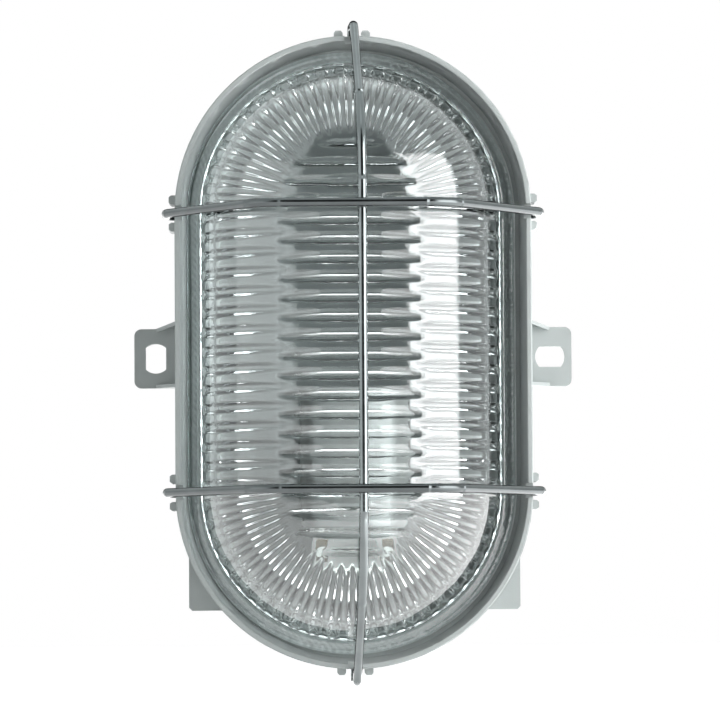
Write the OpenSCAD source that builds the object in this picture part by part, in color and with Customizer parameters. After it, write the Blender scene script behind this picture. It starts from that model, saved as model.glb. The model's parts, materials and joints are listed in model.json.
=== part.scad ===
// Oval bulkhead light with a pressed glass and a wire guard.
// Millimetres. The origin is the centre of the rear face, on the wall.
// X points right, Z points up along the light, and the front faces -Y.

/* [Housing] */
// Width over the rim
rim_w = 120; // [116:1:126]
// Length over the rim
rim_l = 213; // [200:1:235]
// Height of the front edge of the rim above the wall
rim_h = 46; // [44:0.5:50]
// Thickness of the moulded walls
wall = 2.4; // [2:0.1:2.8]
// Height of the cable entry shoulders above the wall
shoulder_h = 29; // [27:0.5:30]
// Distance between the centres of the two fixing slots
slot_pitch = 135.4; // [134:0.2:138]
// Length of a fixing slot
slot_l = 10.2; // [9:0.2:10.6]
// Width of a fixing slot across its flats
slot_w = 7; // [5:0.2:7.6]

/* [Glass] */
// Thickness of the glass
glass_t = 4; // [3.6:0.1:4.4]
// Height of the top of the glass above the wall
glass_h = 80; // [79:0.5:82]
// Ribs in each half turn of the ends
end_ribs = 23; // [19:2:23]
// Ribs on each long side
side_ribs = 15; // [13:2:15]

/* [Guard] */
// Diameter of the guard wire
wire_d = 2.8; // [2.4:0.1:3.2]
// Height of the centre line of the long wire above the wall
guard_h = 86; // [85:0.5:92]
// Sideways lean of the long wire at its top
guard_shift = 2.9; // [0:0.1:3]

/* [Lampholder] */
// Height of the lamp axis above the wall
lamp_z = 38; // [37:0.5:39]
// Outer diameter of the lampholder
holder_d = 36; // [35:0.5:38]

/* [Hidden] */

$fa = 6;
$fs = 0.6;

grey_plastic = [0.68, 0.71, 0.70];
white_plastic = [0.90, 0.91, 0.89];
clear_glass = [0.72, 0.80, 0.80, 0.6];
grey_rubber = [0.56, 0.58, 0.58];
bright_wire = [0.60, 0.62, 0.62];
zinc_steel = [0.70, 0.71, 0.69];
brass = [0.78, 0.62, 0.30];
brown_lead = [0.36, 0.20, 0.12];
blue_lead = [0.14, 0.28, 0.60];

// Shared sizes
spine = rim_l - rim_w;
rim_r = rim_w / 2;
box_r = rim_r - 4;
ledge_z = rim_h - 13;
ledge_t = 2.4;
ledge_in = rim_r - 11;
rim_edge = 1.9;
gasket_t = 2.5;
flange_z = ledge_z + gasket_t;
flange_t = 4;
flange_r = rim_r - 4.8;
seat_r = flange_r + 1.2;
foot_r = rim_r - 10;
hook_z = ledge_z - ledge_t - wire_d / 2 - 0.1;
cross_y = spine / 2 + 0.5;
lug_gap = 6.2;
shoulder_y = spine / 2 + 40.1;
entry_x = box_r - 10.2;
entry_z = shoulder_h / 2;
entry_d = 12.5;

// Profile of the glass: a steep foot that runs into one large arc
foot_lean = 78;
arc_z = flange_z + flange_t + 7.5;
arc_end_r = foot_r - 7.5 / tan(foot_lean);
arc_r = (glass_h - arc_z) / (1 - cos(foot_lean));
arc_cr = arc_end_r - arc_r * sin(foot_lean);
arc_cz = glass_h - arc_r;
in_r = arc_r - glass_t;

// Ribs of the glass: the ring they follow is set off from the arc, so that they sink in at the tip
rib_r = 1.5;
rib_cr = arc_cr - 4.1;
rib_cz = arc_cz - 1.2;
rib_ring = in_r + 2.86 + rib_r;
rib_first = 13;
rib_last = 61;
bar_r = 2;
bar_proud = 1.9;
side_pitch = spine / side_ribs;

// Lampholder stations along its axis, from its foot
holder_y = -72;
holder_len = 58;
holder_r = holder_d / 2;
base_len = 10;
bore_r = 14.3;
floor_len = 20;
shell_seat = 25;
shell_end = 46;

// Stands a piece, drawn flat on the wall with the light's long axis along Y, upright
module upright() {
  rotate([90, 0, 0]) children();
}

// Sweeps a half profile that touches the axis around the oval, as a filled form
module oval() {
  for (turn = [0, 180])
    rotate(turn) translate([0, spine / 2, 0]) rotate_extrude(angle = 180) children();
  rotate([90, 0, 0]) linear_extrude(spine, center = true) {
    children();
    mirror([1, 0]) children();
  }
}

// Sweeps a profile that stands off the axis around the oval, as a ring
module oval_ring() {
  for (turn = [0, 180]) rotate(turn) {
    translate([0, spine / 2, 0]) rotate_extrude(angle = 180) children();
    rotate([90, 0, 0]) linear_extrude(spine, center = true) children();
  }
}

module oval_slab(r, z0, z1) {
  oval() translate([0, z0]) square([r, z1 - z0]);
}

// The squared shoulders at the lower corners
module shoulders(inset, z0, z1) {
  w = box_r - inset;
  y = shoulder_y - inset;
  translate([0, 0, z0]) linear_extrude(z1 - z0)
    polygon([[-w, 6 - spine / 2], [-w, 1 - y], [1 - w, -y], [w - 1, -y], [w, 1 - y], [w, 6 - spine / 2]]);
}

module rim_section() {
  z0 = ledge_z - ledge_t;
  polygon([[ledge_in, z0], [rim_r - 0.5, z0], [rim_r, z0 + 0.5], [rim_r, rim_h - 0.4],
    [rim_r - 0.4, rim_h], [rim_r - rim_edge + 0.3, rim_h], [rim_r - rim_edge, rim_h - 0.3],
    [seat_r, ledge_z + 3], [seat_r - 0.1, ledge_z], [ledge_in, ledge_z]]);
}

// Places its children at the six hook stations, with X pointing outward from the rim
module at_hooks() {
  for (s = [-1, 1]) {
    translate([0, s * spine / 2, 0]) rotate(90 * s) children();
    for (t = [0, 180]) translate([0, s * cross_y, 0]) rotate(t) children();
  }
}

// A pair of cheeks that keeps a guard hook from sliding along the rim
module hook_cheeks() {
  for (s = [-1, 1]) translate([0, s * (lug_gap / 2 + 1.5), ledge_z - ledge_t])
    linear_extrude(rim_h - ledge_z - 1) polygon([[rim_r - 1.5, -1.5], [rim_r + 1.2, -1.5],
      [rim_r + 2, -0.9], [rim_r + 2, 0.9], [rim_r + 1.2, 1.5], [rim_r - 1.5, 1.5]]);
}

// One fixing ear on the +X side with its two stiffening ribs
module ear() {
  cx = slot_pitch / 2;
  x1 = cx + 7.4;
  linear_extrude(3) {
    translate([box_r - 2, -10.2]) square([x1 - 2.5 - box_r + 2, 20.4]);
    translate([box_r - 2, -7.7]) square([x1 - box_r + 2, 15.4]);
    for (s = [-1, 1]) translate([x1 - 2.5, 7.7 * s]) circle(2.5);
    polygon([[box_r - 2, 9], [cx, 9], [cx, 10.2], [box_r - 2, 14.4]]);
  }
  translate([0, -9, 0]) ear_rib(cx - box_r + 2);
  translate([box_r - 2, 14.4, 0]) rotate(-atan2(4.2, cx - box_r + 2)) translate([2 - box_r, 0, 0])
    ear_rib(cx - box_r + 2.6);
}

// A thin upright rib against the housing wall that runs out on the ear
module ear_rib(len) {
  rotate([90, 0, 0]) linear_extrude(1.2)
    polygon([[box_r - 2, 2], [box_r - 2 + len, 2], [box_r - 2 + len, 3.4], [box_r, 19], [box_r - 2, 19]]);
}

module ear_slot(turn) {
  linear_extrude(8, center = true) rotate(turn) intersection() {
    circle(d = slot_l);
    square([slot_w, slot_l + 2], center = true);
  }
}

module base_housing() color(grey_plastic) upright() difference() {
  union() {
    difference() {
      union() {
        oval_slab(box_r, 0, ledge_z - 1.2);
        shoulders(0, 0, shoulder_h);
      }
      oval_slab(box_r - wall, wall, ledge_z);
      shoulders(wall, wall, shoulder_h - wall);
    }
    oval_ring() rim_section();
    at_hooks() hook_cheeks();
    ear();
    mirror([1, 0, 0]) ear();
    for (s = [-1, 1]) translate([6 * s, -58, wall - 0.5]) cylinder(d = 8, h = 8.5 - wall);
    translate([0, -36, wall - 0.5]) cylinder(d = 9, h = 6.9 - wall);
  }
  at_hooks() translate([rim_r - 7, -2.5, rim_h - 3.4]) cube([10, 5, 6]);
  translate([slot_pitch / 2, 0, 0]) ear_slot(90);
  translate([-slot_pitch / 2, 0, 0]) ear_slot(0);
  for (s = [-1, 1]) {
    translate([s * entry_x, -shoulder_y - 1, entry_z]) rotate([-90, 0, 0])
      cylinder(d = entry_d, h = wall + 2);
    translate([6 * s, -58, wall]) cylinder(d = 3, h = 12);
  }
  translate([0, -36, wall]) cylinder(d = 3, h = 12);
  translate([0, 40, -1]) difference() {
    cylinder(d = 21, h = 1.8);
    translate([0, 0, -1]) cylinder(d = 19, h = 4);
  }
}

module glass_gasket() color(grey_rubber) upright() oval_ring()
  translate([0, ledge_z]) polygon([[ledge_in + 1.2, 0], [flange_r - 0.3, 0],
    [flange_r - 0.3, gasket_t - 0.5], [flange_r - 0.8, gasket_t],
    [ledge_in + 1.7, gasket_t], [ledge_in + 1.2, gasket_t - 0.5]]);

// Filled half profile under one face of the glass, set in from the outer face by t
module dome_half(t, z0) {
  r1 = arc_end_r - t * sin(foot_lean);
  z1 = arc_z - t * cos(foot_lean);
  polygon([[0, z0], [r1 + (z1 - z0) / tan(foot_lean), z0], [r1, z1], [arc_cr, arc_cz], [0, arc_cz]]);
  translate([0, arc_cz - 1]) square([arc_cr, arc_r - t + 1]);
  intersection() {
    translate([arc_cr, arc_cz]) circle(arc_r - t);
    polygon([[arc_cr, arc_cz], [arc_cr + 90 * sin(foot_lean), arc_cz + 90 * cos(foot_lean)],
      [arc_cr + 90, arc_cz + 90], [arc_cr, arc_cz + 90]]);
  }
}

// One rib on the inner face, in the plane of the profile
module glass_rib() {
  translate([rib_cr, 0, rib_cz]) rotate([90, 0, 0]) {
    rotate(rib_first) rotate_extrude(angle = rib_last - rib_first)
      translate([rib_ring, 0]) circle(rib_r);
    rotate(rib_first) translate([rib_ring, 0, 0]) sphere(rib_r);
  }
}

// The inner form that presses the glass: the ribs and the cross bars are grooves in it
module glass_plunger() {
  difference() {
    oval() dome_half(glass_t, flange_z - 2);
    for (s = [-1, 1]) translate([0, s * spine / 2, 0]) for (i = [0:end_ribs - 1])
      rotate(90 * s - 90 + (i + 0.5) * 180 / end_ribs) glass_rib();
    for (turn = [0, 180], i = [0:side_ribs - 1])
      rotate(turn) translate([0, (i - (side_ribs - 1) / 2) * side_pitch, 0]) glass_rib();
    for (s = [-1, 1], i = [0:10])
      translate([0, s * (i + 0.5) * side_pitch, arc_cz + in_r - bar_proud + bar_r])
        rotate([0, 90, 0]) cylinder(r = bar_r, h = 43, center = true);
  }
}

module glass_diffuser() color(clear_glass) upright() difference() {
  union() {
    oval() dome_half(0, flange_z);
    oval_slab(flange_r, flange_z, flange_z + flange_t);
  }
  glass_plunger();
}

// Runs a wire along +X through straights [length] and downward bends [radius, angle].
// A bend is drawn slightly thinner, and each straight reaches a little way into the bends beside it.
module wire_run(steps, i = 0) {
  reach = 0.25;
  if (i < len(steps)) {
    s = steps[i];
    if (len(s) == 1) {
      translate([-reach, 0, 0]) rotate([0, 90, 0]) cylinder(d = wire_d, h = s[0] + 2 * reach);
      translate([s[0], 0, 0]) wire_run(steps, i + 1);
    } else {
      translate([0, 0, -s[0]]) rotate([90, 0, 0]) rotate(90 - s[1])
        rotate_extrude(angle = s[1]) translate([s[0], 0]) circle(d = wire_d - 0.05);
      translate([0, 0, -s[0]]) rotate([0, s[1], 0]) translate([0, 0, s[0]]) wire_run(steps, i + 1);
    }
  }
}

// A guard wire in the XZ plane, from the hook under one side of the rim over the glass to the other.
// half: length added along the spine, top: height, lean: slope of the leg, bend: radius at the shoulder,
// clear: distance of the upright leg's centre line from the rim
module guard_wire(half, top, lean, bend, clear) {
  leg_r = rim_r + clear;
  rest_r = rim_r - 0.5;
  rest_z = rim_h + 0.6;
  over = 5;
  hook = 3;
  corner = rest_r - (top - rest_z) / tan(lean);
  t1 = bend * tan(lean / 2);
  knee_r = leg_r - over + over * sin(lean);
  knee_z = rest_z - (knee_r - rest_r) * tan(lean);
  leg = (knee_r - corner) / cos(lean) - t1;
  drop_z = knee_z - over * cos(lean);
  flat = half + corner - t1;
  translate([0, 0, top]) {
    rotate([0, 90, 0]) cylinder(d = wire_d, h = 2 * flat + 0.5, center = true);
    for (turn = [0, 180]) rotate(turn) translate([flat, 0, 0])
      wire_run([[bend, lean], [leg], [over, 90 - lean], [drop_z - hook_z - hook], [hook, 90],
        [clear - hook + 2.4]]);
  }
}

// Leans the long wire to the right about its two hooks
module leaning() {
  translate([0, 0, hook_z]) rotate([0, atan2(guard_shift, guard_h - hook_z), 0])
    translate([0, 0, -hook_z]) children();
}

// A cross wire lies on the long wire and is welded to it, so it is hollowed to fit there
module cross_wire(y) {
  difference() {
    translate([0, y, 0]) guard_wire(0, guard_h + wire_d - 0.2, 56, 14, 2.9);
    leaning() translate([0, y, guard_h]) rotate([90, 0, 0]) cylinder(d = wire_d, h = 12, center = true);
  }
}

module guard_long_wire() color(bright_wire) upright() leaning() rotate(90)
  guard_wire(spine / 2, guard_h, 50, 40, 4.2);

module guard_upper_wire() color(bright_wire) upright() cross_wire(cross_y);

module guard_lower_wire() color(bright_wire) upright() cross_wire(-cross_y);

// Sets a lampholder piece, drawn along +Z from the foot with the front toward -Y, on the lamp axis
module on_lamp_axis() {
  upright() translate([0, holder_y, lamp_z]) rotate([-90, 0, 0]) children();
}

module lampholder_body() color(white_plastic) on_lamp_axis() difference() {
  rotate_extrude() polygon([[12.6, base_len], [14.2, base_len], [holder_r, base_len + 4.2], [holder_r, 30],
    [holder_r - 0.5, 30.5], [holder_r - 0.5, 31.5], [holder_r, 32], [holder_r, holder_len - 0.7],
    [holder_r - 0.7, holder_len], [bore_r + 0.7, holder_len], [bore_r, holder_len - 0.7],
    [bore_r, shell_seat], [12.6, shell_seat]]);
  translate([11, -1.2, shell_seat - 0.8]) cube([3.2, 2.4, 2]);
}

module lampholder_base() color(white_plastic) on_lamp_axis() difference() {
  union() {
    translate([-14.2, -12, 0]) cube([28.4, 24, base_len]);
    translate([0, 0, base_len - 1]) cylinder(r = 7.8, h = floor_len - base_len + 1);
  }
  translate([-7.2, -13, 1.6]) cube([14.4, 13, 7]);
  for (s = [-1, 1]) translate([s * 10.9 - 2, -13, 1.6]) cube([4, 26, 7]);
  translate([-10.2, -1.2, base_len - 2]) cube([1, 2.4, 3]);
  translate([11.4, -1.2, base_len - 2]) cube([1, 2.4, 3]);
  for (s = [-1, 1]) translate([4.5 * s, 6, -1]) cylinder(d = 2.6, h = 8);
}

// Brass sleeve that takes the lamp cap
module screw_shell() color(brass) on_lamp_axis() difference() {
  translate([0, 0, shell_seat]) cylinder(r = bore_r - 0.1, h = shell_end - shell_seat);
  translate([0, 0, shell_seat - 1]) cylinder(r = 13.4, h = shell_end - shell_seat + 2);
}

module centre_contact() color(brass) on_lamp_axis() {
  translate([-10.2, -1.2, 8.6]) cube([1, 2.4, floor_len - 7.8]);
  translate([-10.2, -1.2, floor_len]) cube([8.4, 2.4, 0.8]);
  rotate([90, 0, 0]) linear_extrude(5, center = true)
    polygon([[-4, floor_len], [4, floor_len + 3.4], [6, floor_len + 3.2], [6, floor_len + 4],
      [4, floor_len + 4.3], [-4, floor_len + 0.8]]);
}

module shell_contact() color(brass) on_lamp_axis() {
  translate([11.4, -1.2, 8.6]) cube([1, 2.4, shell_seat - 8.6]);
  translate([11.4, -1.2, shell_seat - 0.8]) cube([2.7, 2.4, 0.8]);
}

// A brass terminal in a side bay, with a wire hole at the rear and a screw at the front
module terminal(s) {
  on_lamp_axis() difference() {
    translate([s * 10.9 - 1.9, -5, 1.6]) cube([3.8, 11, 7]);
    translate([s * 10.9, 0.5, 5.1]) rotate([-90, 0, 0]) cylinder(d = 2.7, h = 8);
    translate([s * 10.9, -6, 5.1]) rotate([-90, 0, 0]) cylinder(d = 2.5, h = 5.5);
  }
}

module live_terminal() color(brass) terminal(-1);

module neutral_terminal() color(brass) terminal(1);

// Cheese-head screw along -Z below its head, with a driver slot
module screw(head_d, head_h, d, len) {
  translate([0, 0, -len]) cylinder(d = d, h = len);
  difference() {
    cylinder(d = head_d, h = head_h);
    translate([-head_d, -0.4, head_h * 0.5]) cube([2 * head_d, 0.8, head_h]);
  }
}

module terminal_screws() color(zinc_steel) on_lamp_axis()
  for (s = [-1, 1]) translate([s * 10.9, -5, 5.1]) rotate([90, 0, 0]) screw(3.6, 1.8, 2.5, 4.5);

// Angle bracket that carries the lampholder from the floor of the housing
module lampholder_bracket() color(zinc_steel) upright() difference() {
  rotate([90, 0, 90]) linear_extrude(26, center = true)
    polygon([[-52, 8], [-52, 9.5], [holder_y, 9.5], [holder_y, lamp_z + 9], [holder_y - 1.5, lamp_z + 9],
      [holder_y - 1.5, 9], [holder_y - 0.5, 8]]);
  for (s = [-1, 1]) {
    translate([6 * s, -58, 5]) cylinder(d = 3.4, h = 8);
    translate([4.5 * s, holder_y - 4, lamp_z - 6]) rotate([-90, 0, 0]) cylinder(d = 2.9, h = 8);
  }
}

module bracket_screws() color(zinc_steel) upright()
  for (s = [-1, 1]) translate([6 * s, -58, 9.5]) screw(6, 2.2, 3, 6.5);

module holder_screws() color(zinc_steel) upright()
  for (s = [-1, 1]) translate([4.5 * s, holder_y - 1.5, lamp_z - 6]) rotate([90, 0, 0])
    screw(5, 1.8, 2.6, 8);

// Two-pole connector on the floor of the housing
module at_poles() {
  translate([0, -36, 6.4]) for (s = [-1, 1]) translate([5.2 * s, 0, 0]) children();
}

module terminal_block() color(white_plastic) upright() difference() {
  union() {
    translate([-10.4, -44, 6.4]) cube([20.8, 16, 5]);
    at_poles() translate([-3.4, -8, 0]) cube([6.8, 16, 11]);
  }
  at_poles() {
    translate([0, 0, 5]) rotate([90, 0, 0]) cylinder(d = 4.4, h = 20, center = true);
    for (s = [-1, 1]) translate([0, 4 * s, 5]) cylinder(d = 3.4, h = 8);
  }
  translate([0, -36, 5]) cylinder(d = 3.3, h = 12);
}

module terminal_block_tubes() color(brass) upright() at_poles() difference() {
  translate([0, 0, 5]) rotate([90, 0, 0]) cylinder(d = 4.4, h = 14, center = true);
  translate([0, 0, 5]) rotate([90, 0, 0]) cylinder(d = 2.8, h = 16, center = true);
  for (s = [-1, 1]) translate([0, 4 * s, 5]) cylinder(d = 2.2, h = 5);
}

module terminal_block_screws() color(zinc_steel) upright() at_poles()
  for (s = [-1, 1]) translate([0, 4 * s, 8.4]) screw(3, 1.5, 2.2, 1.6);

module terminal_block_fixing() color(zinc_steel) upright()
  translate([0, -36, 11.4]) screw(3.6, 1.6, 3, 8);

// Point and heading along an insulated lead from the connector to the terminal on side s
function lead_point(s, t) = let (a = [s * 5.2, -44, 11.4], b = [s * 5.2, -53, 13.4],
  c = [s * 10.9, -60, 15], d = [s * 10.9, -66.9, 20], u = 1 - t)
  u * u * u * a + 3 * u * u * t * b + 3 * u * t * t * c + t * t * t * d;
function lead_path(s) = concat([[s * 5.2, -38.5, 11.4]], [for (i = [0:12]) lead_point(s, i / 12)],
  [[s * 10.9, -66.9, 24], [s * 10.9, -66.9, lamp_z - 2]]);
function unit(v) = v / norm(v);
function ring_at(p, i, r, n) = let (k = len(p) - 1, dir = unit(p[min(i + 1, k)] - p[max(i - 1, 0)]),
  e = unit(cross(dir, [1, 0.13, 0])), f = cross(dir, e))
  [for (j = [0:n - 1]) p[i] + r * (cos(360 * j / n) * e + sin(360 * j / n) * f)];

module lead(s) {
  n = 10;
  p = lead_path(s);
  k = len(p) - 1;
  points = [for (i = [0:k]) each ring_at(p, i, 1.2, n)];
  sides = [for (i = [0:k - 1], j = [0:n - 1]) let (j2 = (j + 1) % n)
    each [[i * n + j, (i + 1) * n + j, (i + 1) * n + j2], [i * n + j, (i + 1) * n + j2, i * n + j2]]];
  ends = [[for (j = [0:n - 1]) j], [for (j = [n - 1:-1:0]) k * n + j]];
  upright() polyhedron(points, concat(sides, ends));
}

module live_lead() color(brown_lead) lead(-1);

module neutral_lead() color(blue_lead) lead(1);

// Rubber membrane, flush in the lower face of a shoulder and held by a lip inside
module cable_grommet(s) {
  r = entry_d / 2;
  upright() translate([s * entry_x, -shoulder_y, entry_z]) rotate([-90, 0, 0]) rotate_extrude()
    polygon([[0, 0.6], [4.2, 0.6], [4.6, 0], [r, 0], [r, wall], [r + 0.5, wall],
      [r - 0.6, wall + 2], [5, wall + 2], [4.4, 1.4], [0, 1.4]]);
}

module left_cable_grommet() color(grey_rubber) cable_grommet(-1);

module right_cable_grommet() color(grey_rubber) cable_grommet(1);

base_housing();
glass_gasket();
glass_diffuser();
guard_long_wire();
guard_upper_wire();
guard_lower_wire();
lampholder_body();
lampholder_base();
screw_shell();
centre_contact();
shell_contact();
live_terminal();
neutral_terminal();
terminal_screws();
lampholder_bracket();
bracket_screws();
holder_screws();
terminal_block();
terminal_block_tubes();
terminal_block_screws();
terminal_block_fixing();
live_lead();
neutral_lead();
left_cable_grommet();
right_cable_grommet();
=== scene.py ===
"""Looks of the oval bulkhead light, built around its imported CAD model."""

import json
import math

import bmesh
import bpy
import numpy as np
from mathutils import Matrix, Vector


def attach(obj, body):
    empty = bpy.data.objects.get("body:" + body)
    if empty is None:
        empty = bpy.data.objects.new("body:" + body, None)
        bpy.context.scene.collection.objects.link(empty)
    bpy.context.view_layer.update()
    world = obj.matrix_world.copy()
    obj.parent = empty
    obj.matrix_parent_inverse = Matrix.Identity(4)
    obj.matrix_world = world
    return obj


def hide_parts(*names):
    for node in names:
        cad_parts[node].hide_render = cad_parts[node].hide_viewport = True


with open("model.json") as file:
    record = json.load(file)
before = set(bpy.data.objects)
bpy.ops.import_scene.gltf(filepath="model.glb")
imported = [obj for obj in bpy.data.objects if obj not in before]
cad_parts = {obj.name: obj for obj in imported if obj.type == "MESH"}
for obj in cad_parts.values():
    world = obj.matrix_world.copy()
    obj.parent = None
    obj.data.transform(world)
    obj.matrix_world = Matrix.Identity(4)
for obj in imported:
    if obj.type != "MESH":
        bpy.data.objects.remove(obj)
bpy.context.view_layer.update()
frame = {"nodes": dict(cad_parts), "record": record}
nodes = frame["nodes"]
scene = bpy.context.scene
scene.view_settings.view_transform = "Standard"
scene.cycles.caustics_refractive = False

MM = 0.001

# The glass, in millimetres: radii from the straight spine of the oval, heights over the wall
SPINE = 93.0
FLANGE_Z = 35.5
FLANGE_T = 4.0
FLANGE_R = 55.1
FOOT_R = 50.7
FOOT_H = 7.5
FOOT_LEAN = math.radians(78)
FLANK = math.radians(62)
GLASS_T = 4.0
GLASS_H = 80.0
GLASS_X = -1.0

# Arcs of its outer and inner faces
ARC_Z = FLANGE_Z + FLANGE_T + FOOT_H
ARC_END_R = FOOT_R - FOOT_H / math.tan(FOOT_LEAN)
ARC_R = (GLASS_H - ARC_Z) / (1 - math.cos(FOOT_LEAN))
ARC_CR = ARC_END_R - ARC_R * math.sin(FOOT_LEAN)
ARC_CZ = GLASS_H - ARC_R
IN_R = ARC_R - GLASS_T
IN_CR = ARC_CR + 0.6
IN_LEAN = math.radians(66)
IN_FLAT = math.radians(18.5)
IN_FOOT_R = 47.6

# Ribs inside the wall: a slope is the height of a ridge over its half width
SIDE_RIBS = 15
END_RIBS = 23
PITCH = 6.42
PITCH_R = 46.0
END_STEP = math.radians(7.66)
RIB_HALF = 2.3
RIB_SLOPE = 0.48
END_SLOPE = 0.46
RIB_START_Z = 42.8
RIB_START_H = 3.4
RIB_TIP_R = 21.0
END_TIP_OUT = 3.4
TIP_LENGTH = 5.0

# Cross bars over the middle
BAR_HALF = 2.2
BAR_SLOPE = 0.72
BAR_END = 23.5
BAR_TAPER = 6.0
BAR_ZONE = 10 * PITCH
SINK_START = 9.5

# The gasket under the flange
SEAL_Z = 33.0
SEAL_TOP = FLANGE_Z - 0.04
SEAL_R = 52.5
SEAL_IN = 49.2
SEAL_OUT = 54.8
SEAL_COLUMNS = 1040
KNURL_PITCH = 2.5
KNURL_DEPTH = 0.9

# Room inside the housing that gets painted shade, as a radius and two heights over the wall
INSIDE_R = 54.5
INSIDE_LOW = 1.5
INSIDE_HIGH = 30.0

# Finish of the other pieces
WELD_GAP = 0.02
EDGE_ANGLE = math.radians(32)
EDGE_SEGMENTS = 2
COAT = 0.15


# ---------------------------------------------------------------- shader nodes


def material(name):
    mat = bpy.data.materials.new(name)
    mat.use_nodes = True
    tree = mat.node_tree
    return mat, tree, tree.nodes["Principled BSDF"]


def add(tree, kind, inputs=None, **props):
    node = tree.nodes.new(kind)
    for key, value in props.items():
        setattr(node, key, value)
    for key, value in (inputs or {}).items():
        if isinstance(value, bpy.types.NodeSocket):
            tree.links.new(value, node.inputs[key])
        else:
            node.inputs[key].default_value = value
    return node


def coords(tree):
    """Object coordinates in metres."""
    return add(tree, "ShaderNodeTexCoord").outputs["Object"]


def axes(tree, vector):
    return add(tree, "ShaderNodeSeparateXYZ", {0: vector}).outputs


def maths(tree, kind, a, b=0.0):
    return add(tree, "ShaderNodeMath", {0: a, 1: b}, operation=kind).outputs[0]


def mixed(tree, share, a, b):
    return add(tree, "ShaderNodeMix", {"Factor": share, "A": a, "B": b}).outputs["Result"]


def noise(tree, vector, scale, detail):
    inputs = {"Vector": vector, "Scale": scale, "Detail": detail, "Roughness": 0.5}
    return add(tree, "ShaderNodeTexNoise", inputs).outputs["Fac"]


def tones(tree, value, colour, dark, light):
    """Shades of a colour, from a dark to a light share of it."""
    node = add(tree, "ShaderNodeValToRGB", {"Fac": value})
    for stop, place, k in zip(node.color_ramp.elements, (0.3, 0.7), (dark, light)):
        stop.position = place
        stop.color = (*(min(1.0, c * k) for c in colour), 1)
    return node.outputs["Color"]


def span(tree, value, low, high):
    """Maps a 0 to 1 value to low to high."""
    inputs = {"Value": value, "To Min": low, "To Max": high}
    return add(tree, "ShaderNodeMapRange", inputs).outputs["Result"]


def smooth(tree, value, start, end, low=0.0, high=1.0):
    """Goes softly from low, where the value is at the start, to high at the end."""
    inputs = {"Value": value, "From Min": start, "From Max": end, "To Min": low, "To Max": high}
    return add(tree, "ShaderNodeMapRange", inputs, interpolation_type="SMOOTHSTEP").outputs["Result"]


def bump(tree, height, distance):
    inputs = {"Height": height, "Distance": distance, "Strength": 1.0}
    return add(tree, "ShaderNodeBump", inputs).outputs["Normal"]


# ---------------------------------------------------------------- materials


def moulded(name, colour, rough, grain=0.00003):
    """Moulded plastic: faint cloudy shade, a fine spark-eroded grain and uneven gloss."""
    mat, tree, shader = material(name)
    at = coords(tree)
    cloud = noise(tree, at, scale=60, detail=4)
    grit = noise(tree, at, scale=2600, detail=2)
    tree.links.new(tones(tree, cloud, colour, 0.94, 1.04), shader.inputs["Base Color"])
    tree.links.new(span(tree, cloud, rough - 0.06, rough + 0.06), shader.inputs["Roughness"])
    tree.links.new(bump(tree, grit, grain), shader.inputs["Normal"])
    return mat


def paint_inside_shade(mat, share):
    """Paints shade on the inner walls and the floor of the housing by darkening their colour."""
    tree = mat.node_tree
    base = tree.nodes["Principled BSDF"].inputs["Base Color"]
    tone = base.links[0].from_socket
    at = axes(tree, coords(tree))
    across = maths(tree, "ABSOLUTE", at["X"])
    along = maths(tree, "SUBTRACT", maths(tree, "ABSOLUTE", at["Z"]), SPINE / 2 * MM)
    beyond = maths(tree, "MAXIMUM", along, 0.0)
    squares = [maths(tree, "POWER", side, 2.0) for side in (across, beyond)]
    radius = maths(tree, "SQRT", maths(tree, "ADD", *squares))
    shaded_zone = maths(tree, "LESS_THAN", radius, INSIDE_R * MM)
    for test, height in (("LESS_THAN", INSIDE_LOW), ("GREATER_THAN", INSIDE_HIGH)):
        shaded_zone = maths(tree, "MULTIPLY", shaded_zone, maths(tree, test, at["Y"], -height * MM))
    # Painted shade: the grey is scaled down inside the housing
    inputs = {0: tone, "Scale": span(tree, shaded_zone, 1.0, share)}
    shade = add(tree, "ShaderNodeVectorMath", inputs, operation="SCALE")
    tree.links.new(shade.outputs["Vector"], base)


def plated(name, colour, rough):
    """Bright metal with drawing marks and dull patches."""
    mat, tree, shader = material(name)
    shader.inputs["Metallic"].default_value = 1.0
    at = coords(tree)
    marks = noise(tree, at, scale=900, detail=3)
    cloud = noise(tree, at, scale=130, detail=4)
    tree.links.new(tones(tree, cloud, colour, 0.85, 1.05), shader.inputs["Base Color"])
    tree.links.new(span(tree, cloud, rough - 0.08, rough + 0.1), shader.inputs["Roughness"])
    tree.links.new(bump(tree, marks, 0.00002), shader.inputs["Normal"])
    return mat


def pressed_glass(name):
    """Clear pressed glass with the faint waves of fire polish. Lamps light what is behind it."""
    mat, tree, shader = material(name)
    shader.inputs["Base Color"].default_value = (0.93, 0.985, 0.985, 1)
    shader.inputs["Transmission Weight"].default_value = 1.0
    shader.inputs["IOR"].default_value = 1.5
    waves = noise(tree, coords(tree), scale=180, detail=2)
    tree.links.new(span(tree, waves, 0.0, 0.03), shader.inputs["Roughness"])
    tree.links.new(bump(tree, waves, 0.00006), shader.inputs["Normal"])
    clear = add(tree, "ShaderNodeBsdfTransparent", {"Color": (0.92, 0.935, 0.935, 1)})
    path = add(tree, "ShaderNodeLightPath").outputs
    mix = add(tree, "ShaderNodeMixShader", {0: path["Is Shadow Ray"]})
    tree.links.new(shader.outputs["BSDF"], mix.inputs[1])
    tree.links.new(clear.outputs["BSDF"], mix.inputs[2])
    tree.links.new(mix.outputs["Shader"], tree.nodes["Material Output"].inputs["Surface"])
    return mat


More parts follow.
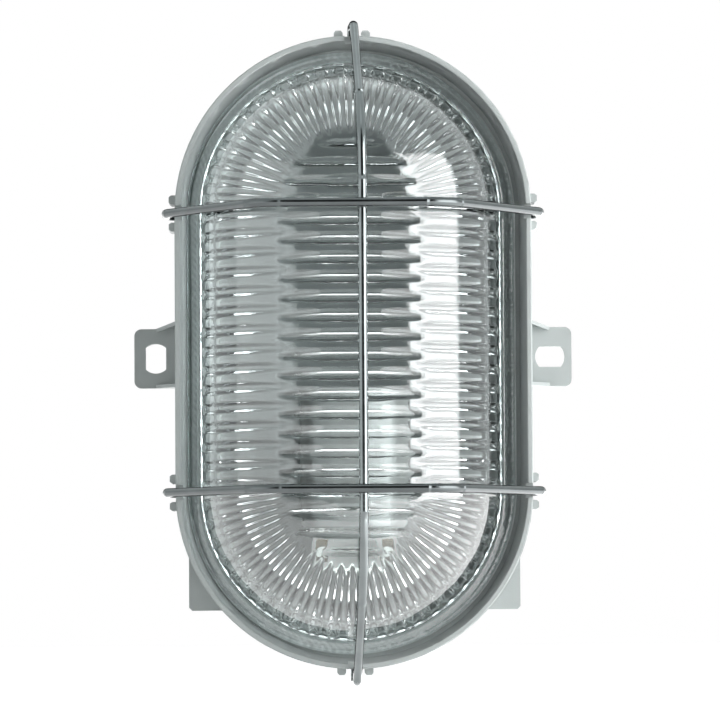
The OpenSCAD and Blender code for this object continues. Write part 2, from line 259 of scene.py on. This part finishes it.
GREY = moulded("grey_moulding", (0.44, 0.475, 0.47), 0.46)
# Painted shade: the inside of the housing is darkened to 0.66 of the grey
paint_inside_shade(GREY, 0.66)
WHITE = moulded("white_moulding", (0.93, 0.945, 0.93), 0.12, grain=0.000004)
RUBBER = moulded("grey_rubber", (0.86, 0.91, 0.90), 0.6)
BROWN = moulded("brown_insulation", (0.10, 0.035, 0.015), 0.4)
BLUE = moulded("blue_insulation", (0.02, 0.08, 0.30), 0.4)
# Guard wire darkened far below zinc steel: painted shade for the dark room it mirrors. The cross
# wires take a darker, rougher copy of the same wire: stronger painted shade on them
WIRE_PAINTED_DARK = plated("bright_wire", (0.105, 0.115, 0.116), 0.12)
CROSS_WIRE_PAINTED_DARKER = plated("cross_wire_painted_darker", (0.06, 0.066, 0.067), 0.22)
STEEL = plated("zinc_steel", (0.58, 0.59, 0.57), 0.34)
# Brass darkened far below its own colour: painted shade for the dim bays of the terminals under the
# holder
BRASS_PAINTED_DARK = plated("brass", (0.07, 0.057, 0.034), 0.25)
GLASS = pressed_glass("pressed_glass")

LOOK = {
    "grey_plastic": GREY,
    "white_plastic": WHITE,
    "gasket_rubber": RUBBER,
    "brown_insulation": BROWN,
    "blue_insulation": BLUE,
    "guard_steel": WIRE_PAINTED_DARK,
    "zinc_steel": STEEL,
    "brass": BRASS_PAINTED_DARK,
    "clear_glass": GLASS,
}
# The cross wires get the darker copy of the guard wire: painted shade
OWN_LOOK = {"guard_upper_wire": CROSS_WIRE_PAINTED_DARKER, "guard_lower_wire": CROSS_WIRE_PAINTED_DARKER}
slot_of = {row["node"]: row["material_slot"] for row in frame["record"]["subparts"]}


# ---------------------------------------------------------------- CAD nodes


def weld(obj):
    """Joins the corners that neighbouring faces share."""
    joined = obj.modifiers.new("weld", "WELD")
    joined.merge_threshold = WELD_GAP * MM


def even_shade(obj):
    """Keeps large faces flat in shade right up to their rounded edges."""
    even = obj.modifiers.new("even_shade", "WEIGHTED_NORMAL")
    even.keep_sharp = False


def dress(name, width):
    """Gives a CAD node its material and, where it has edges, a small rounding."""
    obj = nodes[name]
    obj.data.materials.clear()
    obj.data.materials.append(OWN_LOOK.get(name, LOOK[slot_of[name]]))
    if width:
        weld(obj)
        edge = obj.modifiers.new("rounding", "BEVEL")
        edge.width = width * MM
        edge.segments = EDGE_SEGMENTS
        edge.limit_method = "ANGLE"
        edge.angle_limit = EDGE_ANGLE
        even_shade(obj)


ROUNDING = {
    "base_housing": 0.3,
    "lampholder_body": 0.3,
    "lampholder_base": 0.25,
    "terminal_block": 0.25,
    "lampholder_bracket": 0.2,
    "live_terminal": 0.2,
    "neutral_terminal": 0.2,
}
for node_name in nodes:
    dress(node_name, ROUNDING.get(node_name, 0))

# Wire with its plating, 3.1 mm across
for node_name in ("guard_long_wire", "guard_upper_wire", "guard_lower_wire"):
    wire = nodes[node_name]
    weld(wire)
    coat = wire.modifiers.new("coat", "DISPLACE")
    coat.strength = COAT * MM
    coat.mid_level = 0
    even_shade(wire)


# ---------------------------------------------------------------- glass and gasket


def oval_mesh(name, cy, dx, dy, radii, heights, shift=0.0):
    """Closed mesh from rows of radius and height at each column of the oval."""
    R = np.concatenate(radii, axis=1)
    Z = np.concatenate(heights, axis=1)
    points = np.stack([R * dx + shift, -Z, cy + R * dy], axis=2).reshape(-1, 3) * MM
    count, rows = R.shape
    i = np.arange(count)[:, None] * rows
    n = (np.arange(count)[:, None] + 1) % count * rows
    j = np.arange(rows - 1)[None, :]
    quads = np.stack([i + j, i + j + 1, n + j + 1, n + j], axis=2).reshape(-1, 4)
    mesh = bpy.data.meshes.new(name)
    mesh.from_pydata(points.tolist(), [], quads.tolist())
    work = bmesh.new()
    work.from_mesh(mesh)
    bmesh.ops.remove_doubles(work, verts=work.verts, dist=2e-6)
    bmesh.ops.recalc_face_normals(work, faces=work.faces)
    for face in work.faces:
        face.smooth = True
    work.to_mesh(mesh)
    work.free()
    return mesh


def oval_columns(share):
    """Columns around the glass, spread over the shares of the step from rib to rib.

    Each has its place on the spine, its direction, and its distance and angle from the rib.
    """
    side_end = SPINE / 2
    ribs = [PITCH * (k - SIDE_RIBS // 2) for k in range(SIDE_RIBS)]
    first = math.pi / 2 - END_STEP * (END_RIBS // 2)
    ribs += [side_end + PITCH_R * (first + END_STEP * k) for k in range(END_RIBS)]
    half = SPINE + math.pi * PITCH_R
    ring = [ribs[-1] - half, *ribs, ribs[0] + half]
    columns = []
    for turn in (0, 1):
        sign = 1 - 2 * turn
        for before, rib, after in zip(ring, ring[1:], ring[2:]):
            rib_bend = max(0.0, rib - side_end) / PITCH_R
            for s in share:
                place = rib + s * (after - rib if s > 0 else rib - before)
                bend = max(0.0, place - side_end) / PITCH_R + min(0.0, place + side_end) / PITCH_R
                flat = min(max(place, -side_end), side_end)
                past = (flat - min(rib, side_end)) * math.cos(rib_bend)
                angle = bend + math.pi * turn
                way = (math.cos(angle), math.sin(angle))
                columns.append((sign * flat, *way, past, bend - rib_bend))
    return [column[:, None] for column in np.array(columns).T]


def ridge(side, half, high):
    """Height of a soft ridge over its face, at a distance to the side of its crest."""
    return high * (0.5 + 0.5 * np.cos(np.pi * np.minimum(np.abs(side) / half, 1)))


def dome(r):
    """Height of the outer face over the middle of the glass, at a distance from the spine."""
    return ARC_CZ + math.sqrt(ARC_R**2 - max(0.0, r - ARC_CR) ** 2)


def sink(y, r):
    """Depth to which the outer face is drawn in over the ends of the cross bars."""
    if r <= SINK_START or r >= BAR_END:
        return np.zeros_like(y)
    start = dome(SINK_START)
    chord = start + (dome(BAR_END) - start) * (r - SINK_START) / (BAR_END - SINK_START)
    wave = np.where(np.abs(y) < BAR_ZONE, 0.5 - 0.5 * np.cos(2 * np.pi * y / PITCH), 0)
    return (dome(r) - chord) * wave


def cross_bar(y, r):
    """Height of the cross bars over the inner face, at a place along the light and a radius."""
    if r >= BAR_END:
        return np.zeros_like(y)
    away = (np.abs(y) / PITCH % 1.0 - 0.5) * PITCH
    point = min(1.0, (BAR_END - r) / BAR_TAPER) ** 0.5
    return ridge(away, BAR_HALF * point, BAR_SLOPE * BAR_HALF * point)


def glass_rim():
    """Points of the profile from the outer face's straight flank over the flange to the inside."""
    top = FLANGE_Z + FLANGE_T
    edge = FLANGE_R
    start_r = ARC_CR + ARC_R * math.sin(FLANK)
    start_z = ARC_CZ + ARC_R * math.cos(FLANK)
    run = FOOT_R - 0.5 - start_r
    fall = run * math.tan(FLANK)
    points = [(start_r + k * run, start_z - k * fall) for k in (0.25, 0.5, 0.75, 1.0)]
    low = points[-1][1]
    points += [(FOOT_R - 0.2, low - 0.7), (FOOT_R, low - 1.6), (FOOT_R, top + 2.0)]
    points += [(FOOT_R + 0.12, top + 0.8), (FOOT_R + 0.5, top + 0.2), (FOOT_R + 1.1, top)]
    points += [(r, top) for r in (53.3, 53.9, edge - 0.8)]
    points += [(edge - 0.24, top - 0.24), (edge, top - 0.8)]
    points += [(edge, FLANGE_Z + 0.5), (edge - 0.15, FLANGE_Z + 0.15), (edge - 0.5, FLANGE_Z)]
    return points + [(r, FLANGE_Z) for r in (53.0, 50.5, 48.2)]


def glass_mesh():
    """The pressed glass: a nearly smooth outer face, and an inner face with ribs and cross bars."""
    share = [-0.5, -0.38, -0.29, -0.235, -0.14, 0.0, 0.14, 0.235, 0.29, 0.38]
    cy, dx, dy, ds, da = oval_columns(share)
    radii, heights = [], []

    # Outer face, from the middle to the foot
    for r in [0.0, 3.0, 6.0, *np.linspace(9, BAR_END, 18)]:
        radii.append(np.full_like(cy, r))
        heights.append(dome(r) - sink(cy + r * dy, r))
    for phi in np.linspace(math.asin((BAR_END + 0.7 - ARC_CR) / ARC_R), FLANK, 14):
        radii.append(np.full_like(cy, ARC_CR + ARC_R * math.sin(phi)))
        heights.append(np.full_like(cy, ARC_CZ + ARC_R * math.cos(phi)))
    for r, z in glass_rim():
        radii.append(np.full_like(cy, r))
        heights.append(np.full_like(cy, z))

    # Foot of the inner face: each rib starts with a round end and runs straight up
    sin_foot = math.sin(IN_LEAN)
    cos_foot = math.cos(IN_LEAN)
    slope = RIB_SLOPE + (END_SLOPE - RIB_SLOPE) * np.abs(dy)
    wall_r = IN_CR + IN_R * sin_foot
    wall_z = ARC_CZ + IN_R * cos_foot
    rib_start = [RIB_START_Z, 43.1, 43.5, 44.0, 44.6, 45.3, RIB_START_Z + RIB_START_H]
    for z in [FLANGE_Z + 0.3, 39.0, 41.5, *rib_start, 49.0, 52.0]:
        r = wall_r + (wall_z - z) / (wall_z - FLANGE_Z) * (IN_FOOT_R - wall_r)
        start = min(1.0, max(0.0, (z - RIB_START_Z) / RIB_START_H)) ** 0.5
        lift = ridge(ds + r * np.sin(da), RIB_HALF, start * slope * RIB_HALF)
        radii.append(r - lift * sin_foot)
        heights.append(z - lift * cos_foot)

    # Arc of the inner face: the ribs run on to tips between the ends of the bars
    tip = RIB_TIP_R + END_TIP_OUT * np.abs(dy)
    for phi in np.linspace(IN_LEAN, IN_FLAT, 36):
        r = IN_CR + IN_R * math.sin(phi)
        half = np.where(np.abs(dy) > 0, min(RIB_HALF, 0.5 * r * END_STEP), RIB_HALF)
        point = np.clip((r - tip) / TIP_LENGTH, 0, 1) ** 0.5
        lift = ridge(ds + r * np.sin(da), half * np.maximum(point, 0.01), slope * half * point)
        lift = np.maximum(lift, cross_bar(cy + r * dy, r))
        radii.append(IN_CR + (IN_R - lift) * math.sin(phi))
        heights.append(ARC_CZ + (IN_R - lift) * math.cos(phi))

    # Flat middle of the inner face
    for r in np.linspace(IN_CR + IN_R * math.sin(IN_FLAT), 0, 29)[1:]:
        rise = math.sqrt(IN_R**2 - max(0.0, r - IN_CR) ** 2)
        radii.append(np.full_like(cy, r))
        heights.append(ARC_CZ + rise - cross_bar(cy + r * dy, r))
    return oval_mesh("glass_cover", cy, dx, dy, radii, heights, GLASS_X)


def seal_mesh():
    """The gasket, with a diamond knurl on its upper face and a thin lip inside."""
    around = 2 * SPINE + 2 * math.pi * SEAL_R
    repeat = around / round(around / KNURL_PITCH)
    columns = []
    for k in range(SEAL_COLUMNS):
        s = around * k / SEAL_COLUMNS
        leg, rest = divmod(s, around / 2)
        sign = 1 - 2 * leg
        if rest < SPINE:
            columns.append((sign * (rest - SPINE / 2), sign, 0.0, s))
        else:
            angle = (rest - SPINE) / SEAL_R + math.pi * leg
            columns.append((sign * SPINE / 2, math.cos(angle), math.sin(angle), s))
    cy, dx, dy, s = (column[:, None] for column in np.array(columns).T)
    top = SEAL_TOP
    rows = [(SEAL_IN, SEAL_Z), (SEAL_OUT, SEAL_Z), (SEAL_OUT, top - 0.5), (54.5, top - 0.25)]
    rows += [(r, top) for r in np.linspace(54.3, 50.7, 13)]
    rows += [(50.0, top - 0.1), (45.8, top - 0.1), (45.5, top - 0.5), (45.8, top - 0.9)]
    rows += [(SEAL_IN, top - 1.2), (SEAL_IN, SEAL_Z)]
    radii, heights = [], []
    for r, z in rows:
        a = np.abs(((s + r) / repeat) % 1.0 - 0.5)
        b = np.abs(((s - r) / repeat) % 1.0 - 0.5)
        dent = KNURL_DEPTH * np.maximum(0.5 - a, 0.5 - b) if z == top else 0 * s
        radii.append(np.full_like(cy, r))
        heights.append(z - dent)
    return oval_mesh("seal_ring", cy, dx, dy, radii, heights)


def piece(mesh, look, node):
    obj = bpy.data.objects.new(mesh.name, mesh)
    scene.collection.objects.link(obj)
    mesh.materials.append(look)
    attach(obj, "root")
    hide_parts(node)


piece(glass_mesh(), GLASS, "glass_diffuser")
piece(seal_mesh(), RUBBER, "glass_gasket")


# ---------------------------------------------------------------- stage, light and camera

FLOOR_Z = -0.135
FLOOR_HALF = 8


def lit_floor(seen, left, right, reach):
    """Pale floor that comes out white around the shadow.

    The camera sees it glow a little. Shiny surfaces see it bright, more so to the right.
    """
    mat, tree, shader = material("floor")
    shader.inputs["Base Color"].default_value = (0.86, 0.86, 0.86, 1)
    shader.inputs["Roughness"].default_value = 0.9
    path = add(tree, "ShaderNodeLightPath").outputs
    shiny = maths(tree, "MAXIMUM", path["Is Glossy Ray"], path["Is Transmission Ray"])
    mirrored = smooth(tree, axes(tree, coords(tree))["X"], 0.0, reach, left, right)
    direct = maths(tree, "MULTIPLY", path["Is Camera Ray"], seen)
    level = maths(tree, "ADD", maths(tree, "MULTIPLY", shiny, mirrored), direct)
    glow = add(tree, "ShaderNodeEmission", {"Strength": level})
    both = add(tree, "ShaderNodeAddShader")
    tree.links.new(shader.outputs["BSDF"], both.inputs[0])
    tree.links.new(glow.outputs["Emission"], both.inputs[1])
    tree.links.new(both.outputs["Shader"], tree.nodes["Material Output"].inputs["Surface"])
    return mat


floor_mesh = bpy.data.meshes.new("floor")
corners = [(x * FLOOR_HALF, y * FLOOR_HALF, FLOOR_Z) for x, y in ((-1, -1), (1, -1), (1, 1), (-1, 1))]
floor_mesh.from_pydata(corners, [], [(0, 1, 2, 3)])
floor = bpy.data.objects.new("floor", floor_mesh)
scene.collection.objects.link(floor)
floor.data.materials.append(lit_floor(seen=0.78, left=2.3, right=5.0, reach=0.16))


def studio_world(fill, front, around, above, red):
    """White to the camera, and slightly cool to the light's surfaces.

    Shiny surfaces see a dark room in front, with bright walls and a ceiling around it.
    """
    world = bpy.data.worlds.new("studio")
    scene.world = world
    world.use_nodes = True
    tree = world.node_tree
    back = tree.nodes["Background"]
    way = axes(tree, add(tree, "ShaderNodeTexCoord").outputs["Generated"])
    ahead = maths(tree, "MAXIMUM", maths(tree, "ABSOLUTE", way["Y"]), 0.02)
    mirrored = front
    for axis, low, high, bright in (("Z", 1.1, 1.9, above), ("X", 0.46, 0.62, around)):
        slope = maths(tree, "DIVIDE", maths(tree, "ABSOLUTE", way[axis]), ahead)
        mirrored = mixed(tree, smooth(tree, slope, low, high), mirrored, bright)
    path = add(tree, "ShaderNodeLightPath").outputs
    shiny = maths(tree, "MAXIMUM", path["Is Glossy Ray"], path["Is Transmission Ray"])
    shiny = maths(tree, "MULTIPLY", shiny, maths(tree, "LESS_THAN", path["Diffuse Depth"], 0.5))
    level = mixed(tree, path["Is Camera Ray"], mixed(tree, shiny, fill, mirrored), 1.0)
    tree.links.new(level, back.inputs["Strength"])
    red_part = span(tree, path["Is Camera Ray"], red, 1.0)
    cool = add(tree, "ShaderNodeCombineColor", {"Red": red_part, "Green": 1.0, "Blue": 1.0})
    tree.links.new(cool.outputs["Color"], back.inputs["Color"])


studio_world(fill=0.235, front=0.1, around=2.0, above=3.0, red=0.94)


def softbox(name, azimuth, height, distance, size, radiance):
    """A rectangular light that looks at the object from an azimuth to the right of the front."""
    turn = math.radians(azimuth)
    place = Vector((distance * math.sin(turn), -distance * math.cos(turn), height))
    data = bpy.data.lights.new(name, "AREA")
    data.shape = "RECTANGLE"
    data.size, data.size_y = size
    data.energy = math.pi * size[0] * size[1] * radiance
    lamp = bpy.data.objects.new(name, data)
    facing = (-place).to_track_quat("-Z", "Y").to_matrix().to_4x4()
    lamp.matrix_world = Matrix.Translation(place) @ facing
    lamp.visible_camera = False
    scene.collection.objects.link(lamp)
    return lamp


softbox("key", 56, 0.12, 1.0, (0.95, 1.1), 4.8)
softbox("left_fill", -34, 0.1, 1.2, (0.4, 1.0), 1.95).visible_glossy = False

# White cards that only show in shiny surfaces
softbox("right_card", 54, 0.1, 0.98, (0.92, 1.2), 5.8).visible_diffuse = False
softbox("left_card", -64, 0.1, 1.1, (1.0, 1.2), 1.3).visible_diffuse = False

# The camera looks from a little to the left and below, from far away
PIXELS = 720
PIXELS_PER_MM = 2.98
SENSOR = 36
DISTANCE = 1.8
YAW = math.radians(0.4)
BELOW = math.radians(2.8)
ROLL = math.radians(0.33)
AIM = Vector((0.0021, -0.046, -0.0029))
way = Vector((-math.sin(YAW), -math.cos(YAW), -math.sin(BELOW)))
camera_data = bpy.data.cameras.new("camera")
camera_data.sensor_width = SENSOR
camera_data.lens = SENSOR * DISTANCE / (PIXELS / PIXELS_PER_MM * MM)
camera_data.clip_start = 0.05
camera_data.clip_end = 60
camera = bpy.data.objects.new("camera", camera_data)
camera.location = AIM + way.normalized() * DISTANCE
facing = (AIM - camera.location).to_track_quat("-Z", "Y").to_matrix()
camera.rotation_euler = (facing @ Matrix.Rotation(-ROLL, 3, "Z")).to_euler()
scene.collection.objects.link(camera)
scene.camera = camera
